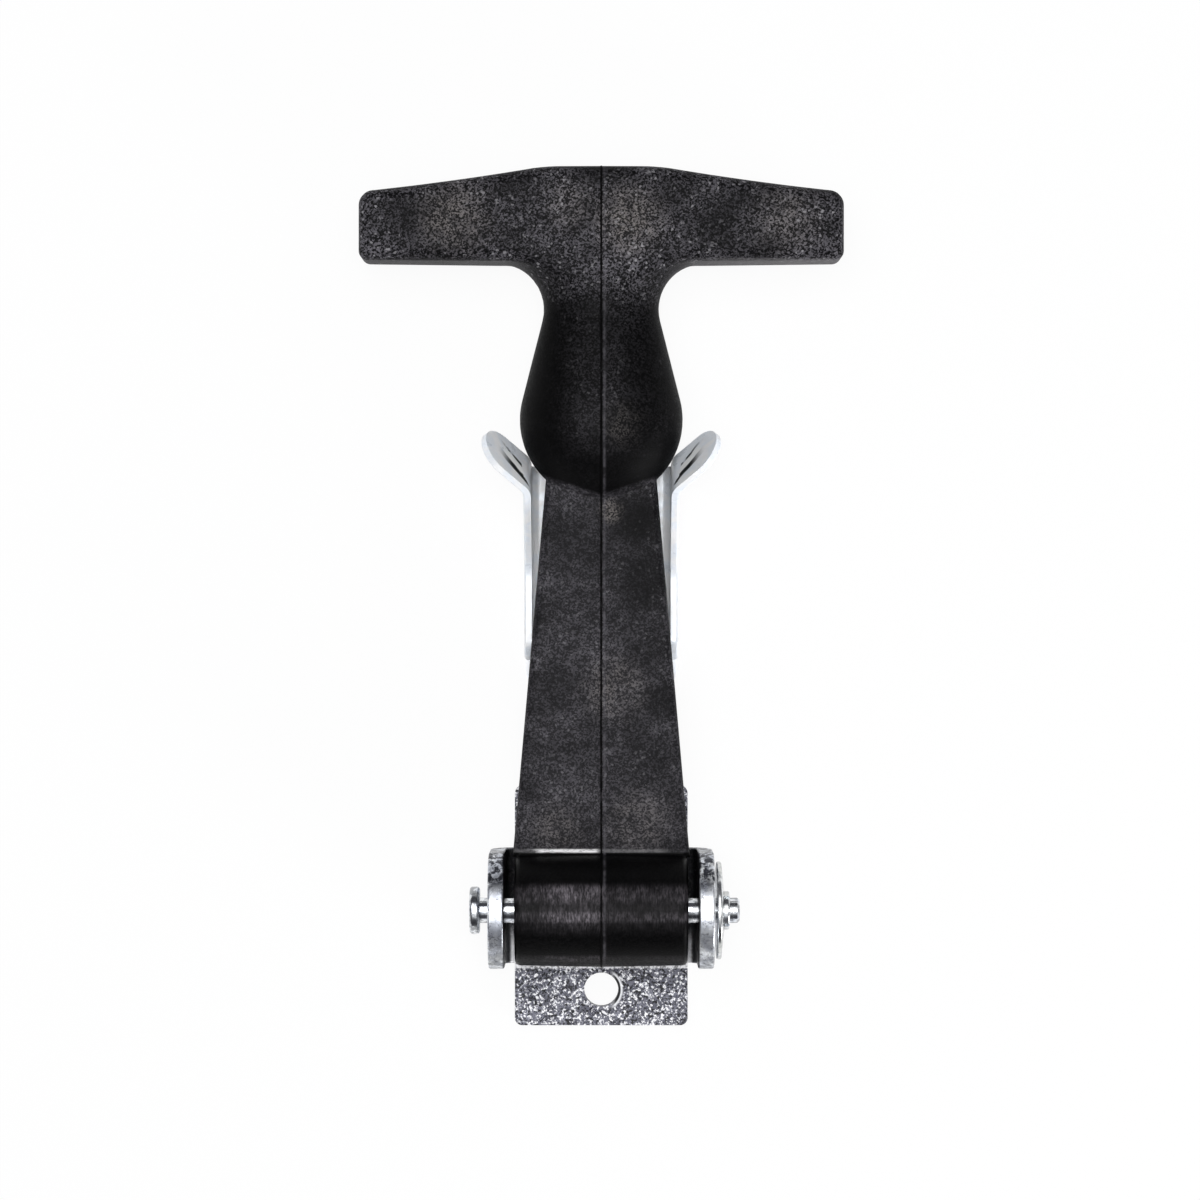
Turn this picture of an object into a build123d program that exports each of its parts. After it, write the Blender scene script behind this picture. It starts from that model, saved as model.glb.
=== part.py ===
from build123d import *
from math import acos, atan2, cos, degrees, hypot, radians, sin, sqrt, tan
import os

# Rubber T draw latch: a moulded rubber T handle swings on a pin held by a folded steel bracket, and the
# bulb below its grip lodges in the flared hooks of a folded steel keeper.
#
# Frame: millimetres. The origin lies on the mounting plane, midway between the two bracket holes and
# under the pivot axis. X runs along the pin, Y along the strap towards the grip, Z out of the plane.

# ---- Driving dimensions: fixing holes -------------------------------------------------------------
screw_hole = 5.5            # clearance hole for a 5 mm screw
bracket_pitch = 27.0        # centre distance of the two bracket holes
keeper_pitch = 25.4         # centre distance of the two keeper holes

# ---- Driving dimensions: pivot --------------------------------------------------------------------
axis_height = 12.0          # pivot axis above the mounting plane
pin_diameter = 4.0
pin_clearance = 0.06        # radial running clearance of the pin in each bore
pin_head_diameter = 7.5
pin_head_height = 1.6
pin_head_edge = 0.5         # rounding of the head's rims
pin_end_play = 1.4          # gap left under the pin head
pin_overhang = 1.6          # plain end standing out of the push nut
pin_chamfer = 0.35

# ---- Driving dimensions: bracket ------------------------------------------------------------------
bracket_sheet = 2.5
bracket_length = 38.4
bracket_width = 27.7
bracket_corner = 1.2
bracket_bend = 2.0          # inside radius where the ears fold up
ear_width = 18.4
ear_side_gap = 1.65         # between the barrel end and the ear
sheet_edge = 0.35           # rounding of a sheared sheet edge

# ---- Driving dimensions: push nut -----------------------------------------------------------------
nut_diameter = 15.4
nut_sheet = 0.8
nut_edge = 0.28             # rounding of its rims
nut_dish = 0.5              # how far the rim leans back towards the ear
nut_collar_diameter = 6.1
nut_collar_height = 0.8
nut_ear_gap = 0.35
nut_slots = 4
nut_slot_width = 0.7
nut_slot_length = 2.4
nut_grip_gap = 0.02         # radial gap between the spring tongues and the pin

# ---- Driving dimensions: handle -------------------------------------------------------------------
barrel_diameter = 17.8
barrel_length = 27.2
barrel_edge = 0.9
mould_draft = 0.25          # fall of each surface from the mould split to the sides
strap_root_spread = 0.7     # how much wider than the barrel the strap leaves it
strap_neck_width = 18.1     # where the strap meets the bulb
strap_thickness = 8.0
strap_standoff = 5.0        # back of the strap above the mounting plane
strap_edge = 1.1
strap_crease = 0.5          # hollow where the front of the strap meets the barrel
bulb_reach = 77.5           # bulb centre from the pivot axis
bulb_width = 25.8
bulb_depth = 19.0
bulb_wall_gap = 0.5         # bulb above the mounting plane
neck_length = 17.5          # bulb centre to the narrowest section
neck_width = 18.2
neck_flare = 7.3            # radius that spreads the neck into the grip
grip_span = 76.4
grip_height = 14.9          # along the strap, at the middle
grip_tip_height = 10.8
grip_flat = 18.0            # straight length at the middle of the grip's top edge
grip_shoulder = 30.0        # radius between that length and the slopes
grip_bow = 0.25             # bulge of each slope
grip_rise = 0.2             # how far the underside climbs towards the tips
grip_depth = 14.0
grip_tip_depth = 11.6
grip_top_corner = 2.4
grip_low_corner = 1.5
grip_edge = 2.2

# ---- Driving dimensions: keeper -------------------------------------------------------------------
keeper_sheet = 1.2
keeper_width = 24.6
keeper_length = 35.7        # lower end of the base to the hooks' fold
keeper_foot_corner = 9.0
keeper_hole_margin = 6.5    # lower end of the base to the first hole
keeper_bend = 1.2           # inside radius where the cheeks fold up
cheek_strap_gap = 0.8       # low cheek to the back of the strap
cheek_rise_radius = 8.0
scoop_radius = 9.5          # round bay in the base below the bulb
hook_top = 13.6             # height of the front end of the hook's fold
hook_width = 8.3
hook_length = 9.0
hook_splay = 43.0           # degrees that a hook folds outwards
hook_lean = 40.0            # degrees that the fold line leans back from upright
hook_bend = 2.0             # inside radius of the hook's fold
seat_gap = 0.3              # bulb to the mould line of the hook's fold

# ---- Derived places -------------------------------------------------------------------------------
bore_diameter = pin_diameter + 2 * pin_clearance
barrel_radius = barrel_diameter / 2
ear_inner = barrel_length / 2 + ear_side_gap
ear_outer = ear_inner + bracket_sheet
nut_rim_x = ear_outer + nut_ear_gap
nut_face_x = nut_rim_x + nut_dish + nut_sheet
pin_head_x = -ear_outer - pin_end_play
pin_end_x = nut_face_x + nut_collar_height + pin_overhang
bulb_radius = bulb_width / 2
depth_ratio = bulb_depth / bulb_width
handle_plane = bulb_wall_gap + bulb_depth / 2
bulb_foot = bulb_reach - bulb_radius
neck_reach = bulb_reach + neck_length
grip_foot = neck_reach + neck_flare
grip_top = grip_foot + grip_height
strap_front = strap_standoff + strap_thickness
strap_root_width = barrel_length + strap_root_spread
strap_start = barrel_radius - 2 * mould_draft

os.makedirs("parts", exist_ok=True)


def strap_width(reach):
    """Width of the tapering strap at a given distance from the pivot axis."""
    share = (reach - barrel_radius) / (bulb_foot - barrel_radius)
    return strap_root_width + share * (strap_neck_width - strap_root_width)


# ---- Pivot bracket: base and two round-ended ears, one folded sheet ---------------------------------
with BuildPart() as pivot_bracket:
    # A U-shaped strip, bent up at both sides of the base.
    with BuildSketch(Plane.XZ) as ear_strip:
        with Locations((0, (axis_height + ear_width) / 2)):
            Rectangle(2 * ear_outer, axis_height + ear_width)
        fillet(ear_strip.vertices().group_by(Axis.Y)[0], bracket_bend + bracket_sheet)
        with BuildSketch(mode=Mode.PRIVATE) as inside_of_strip:
            with Locations((0, bracket_sheet + (axis_height + ear_width) / 2)):
                Rectangle(2 * ear_inner, axis_height + ear_width)
            fillet(inside_of_strip.vertices().group_by(Axis.Y)[0], bracket_bend)
        add(inside_of_strip.sketch, mode=Mode.SUBTRACT)
    extrude(amount=ear_width / 2, both=True)
    # The ears end in a half round about the pivot axis.
    with BuildSketch(Plane.YZ) as ear_outline:
        with Locations((0, axis_height / 2)):
            Rectangle(ear_width, axis_height)
        with Locations((0, axis_height)):
            Circle(ear_width / 2)
    extrude(amount=2 * ear_outer, both=True, mode=Mode.INTERSECT)
    strip_rims = pivot_bracket.edges().filter_by(Axis.Y, reverse=True)
    fillet(strip_rims.filter_by(lambda edge: edge.length > bracket_sheet * 1.01), sheet_edge)
    with BuildSketch(Plane.XY):
        RectangleRounded(bracket_width, bracket_length, bracket_corner)
    extrude(amount=bracket_sheet)
    with Locations((0, 0, bracket_sheet)):
        with GridLocations(0, bracket_pitch, 1, 2):
            Hole(screw_hole / 2, depth=bracket_sheet)
    with BuildSketch(Plane.YZ):
        with Locations((0, axis_height)):
            Circle(bore_diameter / 2)
    extrude(amount=2 * ear_outer, both=True, mode=Mode.SUBTRACT)

# ---- Pivot pin: a headed steel pin ------------------------------------------------------------------
with BuildPart() as pivot_pin:
    with BuildSketch(Plane.XY.offset(axis_height)) as pin_half:
        with BuildLine():
            Polyline(
                (pin_head_x - pin_head_height, 0),
                (pin_head_x - pin_head_height, pin_head_diameter / 2),
                (pin_head_x, pin_head_diameter / 2),
                (pin_head_x, pin_diameter / 2),
                (pin_end_x, pin_diameter / 2),
                (pin_end_x, 0),
                close=True,
            )
        make_face()
        head_corners = pin_half.vertices().group_by(Axis.Y)[-1]
        fillet(head_corners, pin_head_edge)
        end_corner = pin_half.vertices().sort_by(Axis.X).group_by(Axis.X)[-1].sort_by(Axis.Y)[-1]
        chamfer(end_corner, pin_chamfer)
    revolve(axis=Axis((0, 0, axis_height), (1, 0, 0)))

# ---- Push nut: a dished spring ring with a slotted collar ---------------------------------------------
with BuildPart() as push_nut:
    nut_bore = pin_diameter / 2 + nut_grip_gap
    collar = nut_collar_diameter / 2
    slot_middle = nut_bore + (nut_slot_length - nut_slot_width) / 2
    with BuildSketch(Plane.XY.offset(axis_height)) as nut_half:
        with BuildLine():
            Polyline(
                (nut_rim_x, nut_diameter / 2),
                (nut_rim_x + nut_dish, collar),
                (nut_rim_x + nut_dish, nut_bore),
                (nut_face_x + nut_collar_height, nut_bore),
                (nut_face_x + nut_collar_height, collar),
                (nut_face_x, collar),
                (nut_rim_x + nut_sheet, nut_diameter / 2),
                close=True,
            )
        make_face()
        fillet(nut_half.vertices().group_by(Axis.Y)[-1], nut_edge)
        collar_rim = nut_half.vertices().group_by(Axis.X)[-1].sort_by(Axis.Y)[-1]
        fillet(collar_rim, nut_edge)
    revolve(axis=Axis((0, 0, axis_height), (1, 0, 0)))
    # Slots part the collar into spring tongues.
    with BuildSketch(Plane.YZ.offset(nut_rim_x)):
        with Locations((0, axis_height)):
            with PolarLocations(slot_middle, nut_slots, start_angle=45):
                Rectangle(nut_slot_length + nut_slot_width, nut_slot_width)
    extrude(amount=nut_face_x + nut_collar_height - nut_rim_x, mode=Mode.SUBTRACT)

# ---- Bulb and neck: a ball, its common tangent and the flare, turned and then flattened --------------
flare_x = neck_width / 2 + neck_flare
neck_top = grip_foot + grip_tip_height / 2
centre_line = hypot(flare_x, neck_length)
cone_angle = degrees(atan2(neck_length, flare_x) - acos((bulb_radius + neck_flare) / centre_line))

with BuildPart() as turned_neck:
    with BuildSketch(Plane.XY):
        with BuildLine():
            ball = CenterArc((0, bulb_reach), bulb_radius, -90, 90 + cone_angle)
            flare = CenterArc((flare_x, neck_reach), neck_flare, 180 + cone_angle, -90 - cone_angle)
            Line(ball @ 1, flare @ 0)
            Polyline(flare @ 1, (flare_x, neck_top), (0, neck_top), ball @ 0)
        make_face()
    revolve(axis=Axis.Y)
    scale(by=(1, 1, depth_ratio))

# ---- T handle: grip, neck, bulb, strap and barrel, one rubber moulding ---------------------------------
with BuildPart() as t_handle:
    # Grip outline seen from the front.
    with BuildSketch(Plane.XY.offset(handle_plane)) as grip_outline:
        with BuildLine():
            half_span = grip_span / 2
            tip_low = grip_foot + grip_rise
            tip_high = tip_low + grip_tip_height
            slope = SagittaArc((grip_flat / 2, grip_top), (half_span, tip_high), -grip_bow)
            Polyline(slope @ 1, (half_span, tip_low), (flare_x, grip_foot), (0, grip_foot))
            Polyline((0, grip_foot), (0, grip_top), slope @ 0)
        make_face()
        shoulder = grip_outline.vertices().sort_by_distance((grip_flat / 2, grip_top))[0]
        fillet(shoulder, grip_shoulder)
        mirror(about=Plane.YZ)
        tips = grip_outline.vertices().filter_by(lambda v: abs(v.X) > half_span * 0.99)
        fillet(tips.group_by(Axis.Y)[-1], grip_top_corner)
        tips = grip_outline.vertices().filter_by(lambda v: abs(v.X) > half_span * 0.99)
        fillet(tips.group_by(Axis.Y)[0], grip_low_corner)
    extrude(amount=grip_depth, both=True)
    with Locations((0, 0, handle_plane)):
        add(turned_neck.part)
    # Front and back of the grip fall away from the mould split towards the tips.
    for side in (1, -1):
        with BuildSketch(Plane.XZ.offset(-neck_reach)):
            with BuildLine():
                Polyline(
                    (-half_span, handle_plane + side * grip_tip_depth / 2),
                    (0, handle_plane + side * grip_depth / 2),
                    (half_span, handle_plane + side * grip_tip_depth / 2),
                    (half_span, handle_plane + side * 2 * grip_depth),
                    (-half_span, handle_plane + side * 2 * grip_depth),
                    close=True,
                )
            make_face()
        extrude(amount=neck_reach - grip_top - neck_flare, mode=Mode.SUBTRACT)

    # Long edges of the grip are rounded; the split line stays as it is.
    broad_faces = t_handle.faces().filter_by(lambda face: face.center().Y > neck_reach)
    broad_faces = broad_faces.filter_by(lambda face: abs(face.normal_at().Z) > 0.9)
    rims = broad_faces.edges().filter_by(lambda edge: abs(edge.center().X) > 0.01)
    fillet(rims, grip_edge)
    # Strap: a flat taper, slightly ridged along the mould split.
    for reach in (strap_start, bulb_reach):
        with BuildSketch(Plane.XZ.offset(-reach)) as strap_section:
            half_width = strap_width(reach) / 2
            with BuildLine():
                Polyline(
                    (-half_width, strap_standoff + mould_draft),
                    (0, strap_standoff),
                    (half_width, strap_standoff + mould_draft),
                    (half_width, strap_front - mould_draft),
                    (0, strap_front),
                    (-half_width, strap_front - mould_draft),
                    close=True,
                )
            make_face()
            fillet(strap_section.vertices().filter_by(lambda v: abs(v.X) > half_width / 2), strap_edge)
    loft()
    # Barrel: a drum about the pivot axis, a little fuller at the mould split.
    with BuildSketch(Plane.XY.offset(axis_height)) as barrel_half:
        with BuildLine():
            Polyline(
                (-barrel_length / 2, 0),
                (-barrel_length / 2, barrel_radius - mould_draft),
                (0, barrel_radius),
                (barrel_length / 2, barrel_radius - mould_draft),
                (barrel_length / 2, 0),
                close=True,
            )
        make_face()
        rim_corners = barrel_half.vertices().filter_by(lambda v: v.Y > 0 and abs(v.X) > barrel_length / 4)
        fillet(rim_corners, barrel_edge)
    revolve(axis=Axis((0, 0, axis_height), (1, 0, 0)))
    crease_points = [(side * barrel_length / 4, barrel_radius, strap_front) for side in (1, -1)]
    fillet([t_handle.edges().sort_by_distance(point)[0] for point in crease_points], strap_crease)
    with BuildSketch(Plane.YZ):
        with Locations((0, axis_height)):
            Circle(bore_diameter / 2)
    extrude(amount=barrel_length, both=True, mode=Mode.SUBTRACT)

# ---- Keeper: base, two cheeks and two flared hooks, one folded sheet -----------------------------------
lean = radians(hook_lean)
splay = radians(hook_splay)
channel = keeper_width / 2 - keeper_sheet
# The bulb, stretched along Z into a sphere, lies seat_gap from the mould line where cheek and hook meet.
stretch = bulb_width / bulb_depth
line_distance = sqrt((bulb_radius + seat_gap) ** 2 - channel**2) * hypot(stretch * cos(lean), sin(lean))
line_drop = (line_distance + stretch * (hook_top - handle_plane) * sin(lean)) / (stretch * cos(lean))
fold_front = Vector(channel, bulb_reach - line_drop, hook_top)
fold_line = Vector(0, -sin(lean), cos(lean))
cheek_run = Vector(0, cos(lean), sin(lean))
fold_radius = hook_bend + keeper_sheet
fold_setback = fold_radius * tan(splay / 2)
fold_start = fold_front - fold_line * (hook_width / 2) - cheek_run * fold_setback
front_end = fold_start + fold_line * (hook_width / 2)
rear_end = fold_start - fold_line * (hook_width / 2)
low_cheek = strap_standoff - cheek_strap_gap
rise_start = front_end.Y - (front_end.Z - low_cheek) / tan(lean)
keeper_foot = fold_front.Y - keeper_length
cheek_foot = keeper_foot + keeper_foot_corner

with BuildPart() as keeper:
    # Channel: base and cheeks seen from the end.
    with BuildSketch(Plane.XZ.offset(-cheek_foot)) as channel_section:
        with Locations((0, hook_top / 2)):
            Rectangle(keeper_width, hook_top)
        fillet(channel_section.vertices().group_by(Axis.Y)[0], keeper_bend + keeper_sheet)
        with BuildSketch(mode=Mode.PRIVATE) as channel_inside:
            with Locations((0, keeper_sheet + hook_top / 2)):
                Rectangle(2 * channel, hook_top)
            fillet(channel_inside.vertices().group_by(Axis.Y)[0], keeper_bend)
        add(channel_inside.sketch, mode=Mode.SUBTRACT)
    extrude(amount=cheek_foot - rear_end.Y)
    # Cheeks seen from the side: low under the strap, then rising to the hooks.
    with BuildSketch(Plane.YZ) as cheek_outline:
        with BuildLine():
            Polyline(
                (cheek_foot, 0),
                (cheek_foot, low_cheek),
                (rise_start, low_cheek),
                (front_end.Y, front_end.Z),
                (rear_end.Y, rear_end.Z),
                (rear_end.Y, 0),
                close=True,
            )
        make_face()
        foot_corner = cheek_outline.vertices().group_by(Axis.X)[0].sort_by(Axis.Y)[-1]
        fillet(foot_corner, low_cheek - keeper_sheet)
        rise_corner = cheek_outline.vertices().sort_by_distance((rise_start, low_cheek))[0]
        fillet(rise_corner, cheek_rise_radius)
    extrude(amount=keeper_width, both=True, mode=Mode.INTERSECT)
    # Foot of the base, with well rounded corners.
    with BuildSketch(Plane.XY) as foot_outline:
        with Locations((0, keeper_foot + keeper_foot_corner)):
            Rectangle(keeper_width, 2 * keeper_foot_corner)
        fillet(foot_outline.vertices().group_by(Axis.Y)[0], keeper_foot_corner)
        with Locations((0, cheek_foot + keeper_foot_corner)):
            Rectangle(keeper_width, 2 * keeper_foot_corner, mode=Mode.SUBTRACT)
    extrude(amount=keeper_sheet)
    # Hooks: a fold about the leaning line, then a round-ended lobe.
    for side in (1, -1):
        start = Vector(side * fold_start.X, fold_start.Y, fold_start.Z)
        fold_plane = Plane(origin=start, x_dir=fold_line * side, z_dir=cheek_run)
        with BuildSketch(fold_plane):
            with Locations((0, keeper_sheet / 2)):
                Rectangle(hook_width, keeper_sheet)
        fold_axis = Axis(fold_plane.from_local_coords((0, fold_radius, 0)), fold_line * -side)
        revolve(axis=fold_axis, revolution_arc=hook_splay)
        run = cheek_run * cos(splay) + Vector(side, 0, 0) * sin(splay)
        fold_end = (0, fold_radius * (1 - cos(splay)), fold_radius * sin(splay))
        lobe_origin = fold_plane.from_local_coords(fold_end)
        lobe_normal = (fold_line * side).cross(run)
        with BuildSketch(Plane(origin=lobe_origin, x_dir=fold_line * side, z_dir=lobe_normal)) as lobe:
            straight = hook_length - hook_width / 2
            with Locations((0, straight / 2)):
                Rectangle(hook_width, straight)
            with Locations((0, straight)):
                Circle(hook_width / 2)
        extrude(amount=-keeper_sheet)
    # The outer rim is rounded from the foot of each cheek right round its hook.
    cheek_tops = keeper.edges().filter_by(Axis.Y).filter_by_position(Axis.Z, low_cheek, low_cheek)
    fillet(cheek_tops.filter_by(lambda edge: abs(edge.center().X) > channel + keeper_sheet / 2), sheet_edge)
    with Locations((0, keeper_foot + keeper_hole_margin + keeper_pitch / 2, keeper_sheet)):
        with GridLocations(0, keeper_pitch, 1, 2):
            Hole(screw_hole / 2, depth=keeper_sheet)
    # Round bay that clears the underside of the bulb.
    with BuildSketch(Plane.XY):
        with Locations((0, bulb_reach)):
            Circle(scoop_radius)
    extrude(amount=2 * keeper_sheet, mode=Mode.SUBTRACT)

pivot_bracket.part.label = "pivot_bracket"
export_step(pivot_bracket.part, "parts/pivot_bracket.step")
pivot_pin.part.label = "pivot_pin"
export_step(pivot_pin.part, "parts/pivot_pin.step")
push_nut.part.label = "push_nut"
export_step(push_nut.part, "parts/push_nut.step")
t_handle.part.label = "t_handle"
export_step(t_handle.part, "parts/t_handle.step")
keeper.part.label = "keeper"
export_step(keeper.part, "parts/keeper.step")
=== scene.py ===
import logging
from collections.abc import Iterable
from dataclasses import dataclass, field
from enum import Enum
from functools import cached_property
from math import hypot

import bmesh
import bpy
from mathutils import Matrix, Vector


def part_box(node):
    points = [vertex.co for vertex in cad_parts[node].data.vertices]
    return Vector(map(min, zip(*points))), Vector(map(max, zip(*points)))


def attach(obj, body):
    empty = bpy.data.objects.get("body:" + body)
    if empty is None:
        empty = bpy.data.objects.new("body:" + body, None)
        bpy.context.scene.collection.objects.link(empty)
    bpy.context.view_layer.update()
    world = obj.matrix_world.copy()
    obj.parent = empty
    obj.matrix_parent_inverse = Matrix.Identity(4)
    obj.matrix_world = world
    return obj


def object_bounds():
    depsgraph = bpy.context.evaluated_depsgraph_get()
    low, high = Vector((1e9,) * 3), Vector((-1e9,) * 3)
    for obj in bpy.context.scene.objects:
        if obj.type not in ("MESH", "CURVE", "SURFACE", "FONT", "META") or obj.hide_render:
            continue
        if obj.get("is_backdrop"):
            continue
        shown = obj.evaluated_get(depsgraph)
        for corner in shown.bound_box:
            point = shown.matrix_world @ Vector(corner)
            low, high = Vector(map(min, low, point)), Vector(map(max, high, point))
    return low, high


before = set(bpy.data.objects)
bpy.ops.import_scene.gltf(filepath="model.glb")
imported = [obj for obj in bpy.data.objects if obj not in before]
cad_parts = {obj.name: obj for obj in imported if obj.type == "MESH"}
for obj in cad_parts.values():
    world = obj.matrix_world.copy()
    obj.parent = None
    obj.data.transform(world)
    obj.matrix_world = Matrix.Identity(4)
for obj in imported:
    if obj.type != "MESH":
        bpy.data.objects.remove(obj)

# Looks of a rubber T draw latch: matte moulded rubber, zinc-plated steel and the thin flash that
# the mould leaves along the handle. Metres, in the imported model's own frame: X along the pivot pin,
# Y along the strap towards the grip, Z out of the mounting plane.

log = logging.getLogger("draw_latch")
MM = 0.001
NOISE_MIDDLE = 0.5
Colour = tuple[float, float, float]
Socket = bpy.types.NodeSocket
Value = Socket | float
Paint = Socket | Colour


class Body(str, Enum):
    """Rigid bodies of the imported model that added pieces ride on."""

    HANDLE = "handle"


class Slot(str, Enum):
    """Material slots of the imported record."""

    RUBBER = "black_rubber"
    BRACKET = "bracket_zinc"
    KEEPER = "keeper_zinc"
    PIN = "pin_zinc"
    NUT = "nut_zinc"


@dataclass(frozen=True)
class Ramp:
    """A smooth step from one result to another, held outside its range."""

    low: float
    high: float
    to_low: float = 0.0
    to_high: float = 1.0


@dataclass(frozen=True)
class Grain:
    """A noise pattern. Its size is the width of a grain in metres, its stretch draws grains out."""

    size: float
    detail: float = 3.0
    roughness: float = 0.55
    distortion: float = 0.0
    stretch: tuple[float, float, float] | None = None


@dataclass(frozen=True)
class Breaks:
    """A noise pattern and the smooth step that turns it into a share."""

    grain: Grain
    ramp: Ramp


@dataclass(frozen=True)
class Grit:
    """A grain of soft noise with hard cells in it, and the share of each."""

    noise: Grain
    cell: float
    noise_share: float


@dataclass(frozen=True)
class Relief:
    """Bump relief: its depth in metres and the share of it that shows."""

    depth: float
    strength: float


@dataclass(frozen=True)
class Patch:
    """A round patch that fades from its middle, seen along Z and placed in millimetres."""

    x: float
    y: float
    radius: float
    strength: float
    core: float = 0.15


@dataclass(frozen=True)
class Stripe:
    """A stripe with soft edges, in millimetres: its middle, its full and its faded half width."""

    middle: float
    inside: float
    outside: float
    strength: float = 1.0


def rgba(colour: Colour) -> tuple[float, float, float, float]:
    """Return an opaque colour with its alpha."""
    return (*colour, 1.0)


class Shader:
    """A material under construction, with short calls for the nodes that the finishes share."""

    def __init__(self, name: str) -> None:
        """Start a material that holds a Principled surface only.

        Args:
            name: name of the new material.
        """
        self.material = bpy.data.materials.new(name)
        self.material.use_nodes = True
        self.tree = self.material.node_tree
        self.tree.nodes.clear()
        output = self.tree.nodes.new("ShaderNodeOutputMaterial")
        self.bsdf = self.tree.nodes.new("ShaderNodeBsdfPrincipled")
        self.link(self.bsdf.outputs["BSDF"], output.inputs["Surface"])
        self.place = self.tree.nodes.new("ShaderNodeTexCoord").outputs["Object"]

    @cached_property
    def axes(self) -> bpy.types.NodeOutputs:
        """The place on the piece, split into sockets X, Y and Z."""
        node = self.tree.nodes.new("ShaderNodeSeparateXYZ")
        self.link(self.place, node.inputs[0])
        return node.outputs

    def link(self, source: Socket, target: Socket) -> None:
        """Join two sockets."""
        self.tree.links.new(source, target)

    def feed(self, sockets: Iterable[Socket], values: Iterable[Value]) -> None:
        """Fill input sockets.

        Args:
            sockets: inputs to fill, in order.
            values: for each a socket to link, or a constant.
        """
        for socket, value in zip(sockets, values):
            if isinstance(value, Socket):
                self.link(value, socket)
            else:
                socket.default_value = value

    def math(self, operation: str, *values: Value, clamp: bool = False) -> Socket:
        """Add a math node.

        Args:
            operation: Blender's name of the operation.
            values: one or two sockets or numbers.
            clamp: hold the result between 0 and 1.

        Returns:
            The node's output socket.
        """
        node = self.tree.nodes.new("ShaderNodeMath")
        node.operation = operation
        node.use_clamp = clamp
        self.feed(node.inputs, values)
        return node.outputs[0]

    def times(self, first: Value, *others: Value) -> Socket:
        """Multiply sockets or numbers, from left to right."""
        for other in others:
            first = self.math("MULTIPLY", first, other)
        return first

    def gap(self, first: Value, second: Value) -> Socket:
        """Return how far two values are apart."""
        return self.math("ABSOLUTE", self.math("SUBTRACT", first, second))

    def length(self, first: Socket, second: Socket) -> Socket:
        """Return the length of a flat vector from its two parts."""
        squares = self.math("ADD", self.times(first, first), self.times(second, second))
        return self.math("SQRT", squares)

    def noise(self, grain: Grain) -> Socket:
        """Add a noise pattern.

        Args:
            grain: its size and character.

        Returns:
            The pattern's value socket.
        """
        node = self.tree.nodes.new("ShaderNodeTexNoise")
        node.inputs["Scale"].default_value = 1.0 / grain.size
        node.inputs["Detail"].default_value = grain.detail
        node.inputs["Roughness"].default_value = grain.roughness
        node.inputs["Distortion"].default_value = grain.distortion
        place = self.place
        if grain.stretch is not None:
            mapping = self.tree.nodes.new("ShaderNodeMapping")
            mapping.inputs["Scale"].default_value = grain.stretch
            self.link(self.place, mapping.inputs["Vector"])
            place = mapping.outputs["Vector"]
        self.link(place, node.inputs["Vector"])
        return node.outputs[0]

    def breaks(self, breaks: Breaks) -> Socket:
        """Return a share that a noise pattern breaks up."""
        return self.ramp(self.noise(breaks.grain), breaks.ramp)

    def cells(self, size: float) -> Socket:
        """Add a cell pattern whose value differs from cell to cell.

        Args:
            size: width of the cells in metres.

        Returns:
            A socket with one value from 0 to 1 for each cell.
        """
        node = self.tree.nodes.new("ShaderNodeTexVoronoi")
        node.inputs["Scale"].default_value = 1.0 / size
        self.link(self.place, node.inputs["Vector"])
        split = self.tree.nodes.new("ShaderNodeSeparateColor")
        self.link(node.outputs["Color"], split.inputs[0])
        return split.outputs[0]

    def grit(self, grit: Grit) -> Socket:
        """Add soft noise mixed with hard cells.

        Args:
            grit: the two patterns and their shares.

        Returns:
            The mixed pattern's socket.
        """
        return self.math("ADD", self.times(self.noise(grit.noise), grit.noise_share),
                         self.times(self.cells(grit.cell), 1.0 - grit.noise_share))

    def ramp(self, value: Socket, ramp: Ramp) -> Socket:
        """Map a value through a smooth step.

        Args:
            value: socket to map.
            ramp: its range and results.

        Returns:
            The mapped socket.
        """
        node = self.tree.nodes.new("ShaderNodeMapRange")
        node.interpolation_type = "SMOOTHSTEP"
        names = ("Value", "From Min", "From Max", "To Min", "To Max")
        values = (value, ramp.low, ramp.high, ramp.to_low, ramp.to_high)
        self.feed([node.inputs[name] for name in names], values)
        return node.outputs["Result"]

    def across(self, ramp: Ramp) -> Socket:
        """Return a smooth step along X."""
        return self.ramp(self.axes["X"], ramp)

    def along(self, ramp: Ramp) -> Socket:
        """Return a smooth step along Y."""
        return self.ramp(self.axes["Y"], ramp)

    def stripe(self, value: Socket, stripe: Stripe) -> Socket:
        """Add a soft stripe.

        Args:
            value: place across the stripe in metres.
            stripe: its middle and edges.

        Returns:
            A socket that is the stripe's strength along its middle.
        """
        off = self.gap(value, stripe.middle * MM)
        return self.ramp(off, Ramp(stripe.inside * MM, stripe.outside * MM, stripe.strength, 0.0))

    def patch(self, patch: Patch) -> Socket:
        """Add a round patch.

        Args:
            patch: its place, size and strength.

        Returns:
            A socket that is the patch's strength in its middle.
        """
        flat = self.tree.nodes.new("ShaderNodeVectorMath")
        flat.operation = "MULTIPLY"
        flat.inputs[1].default_value = (1, 1, 0)
        self.link(self.place, flat.inputs[0])
        away = self.tree.nodes.new("ShaderNodeVectorMath")
        away.operation = "DISTANCE"
        away.inputs[1].default_value = (patch.x * MM, patch.y * MM, 0)
        self.link(flat.outputs["Vector"], away.inputs[0])
        fade = Ramp(patch.core * patch.radius * MM, patch.radius * MM, 1.0, 0.0)
        return self.times(self.ramp(away.outputs["Value"], fade), patch.strength)

    def patches(self, patches: tuple[Patch, ...]) -> Socket:
        """Join round patches into one mask.

        Args:
            patches: the patches.

        Returns:
            A socket that holds the strongest patch at each place.
        """
        mask = self.patch(patches[0])
        for patch in patches[1:]:
            mask = self.math("MAXIMUM", mask, self.patch(patch))
        return mask

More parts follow.
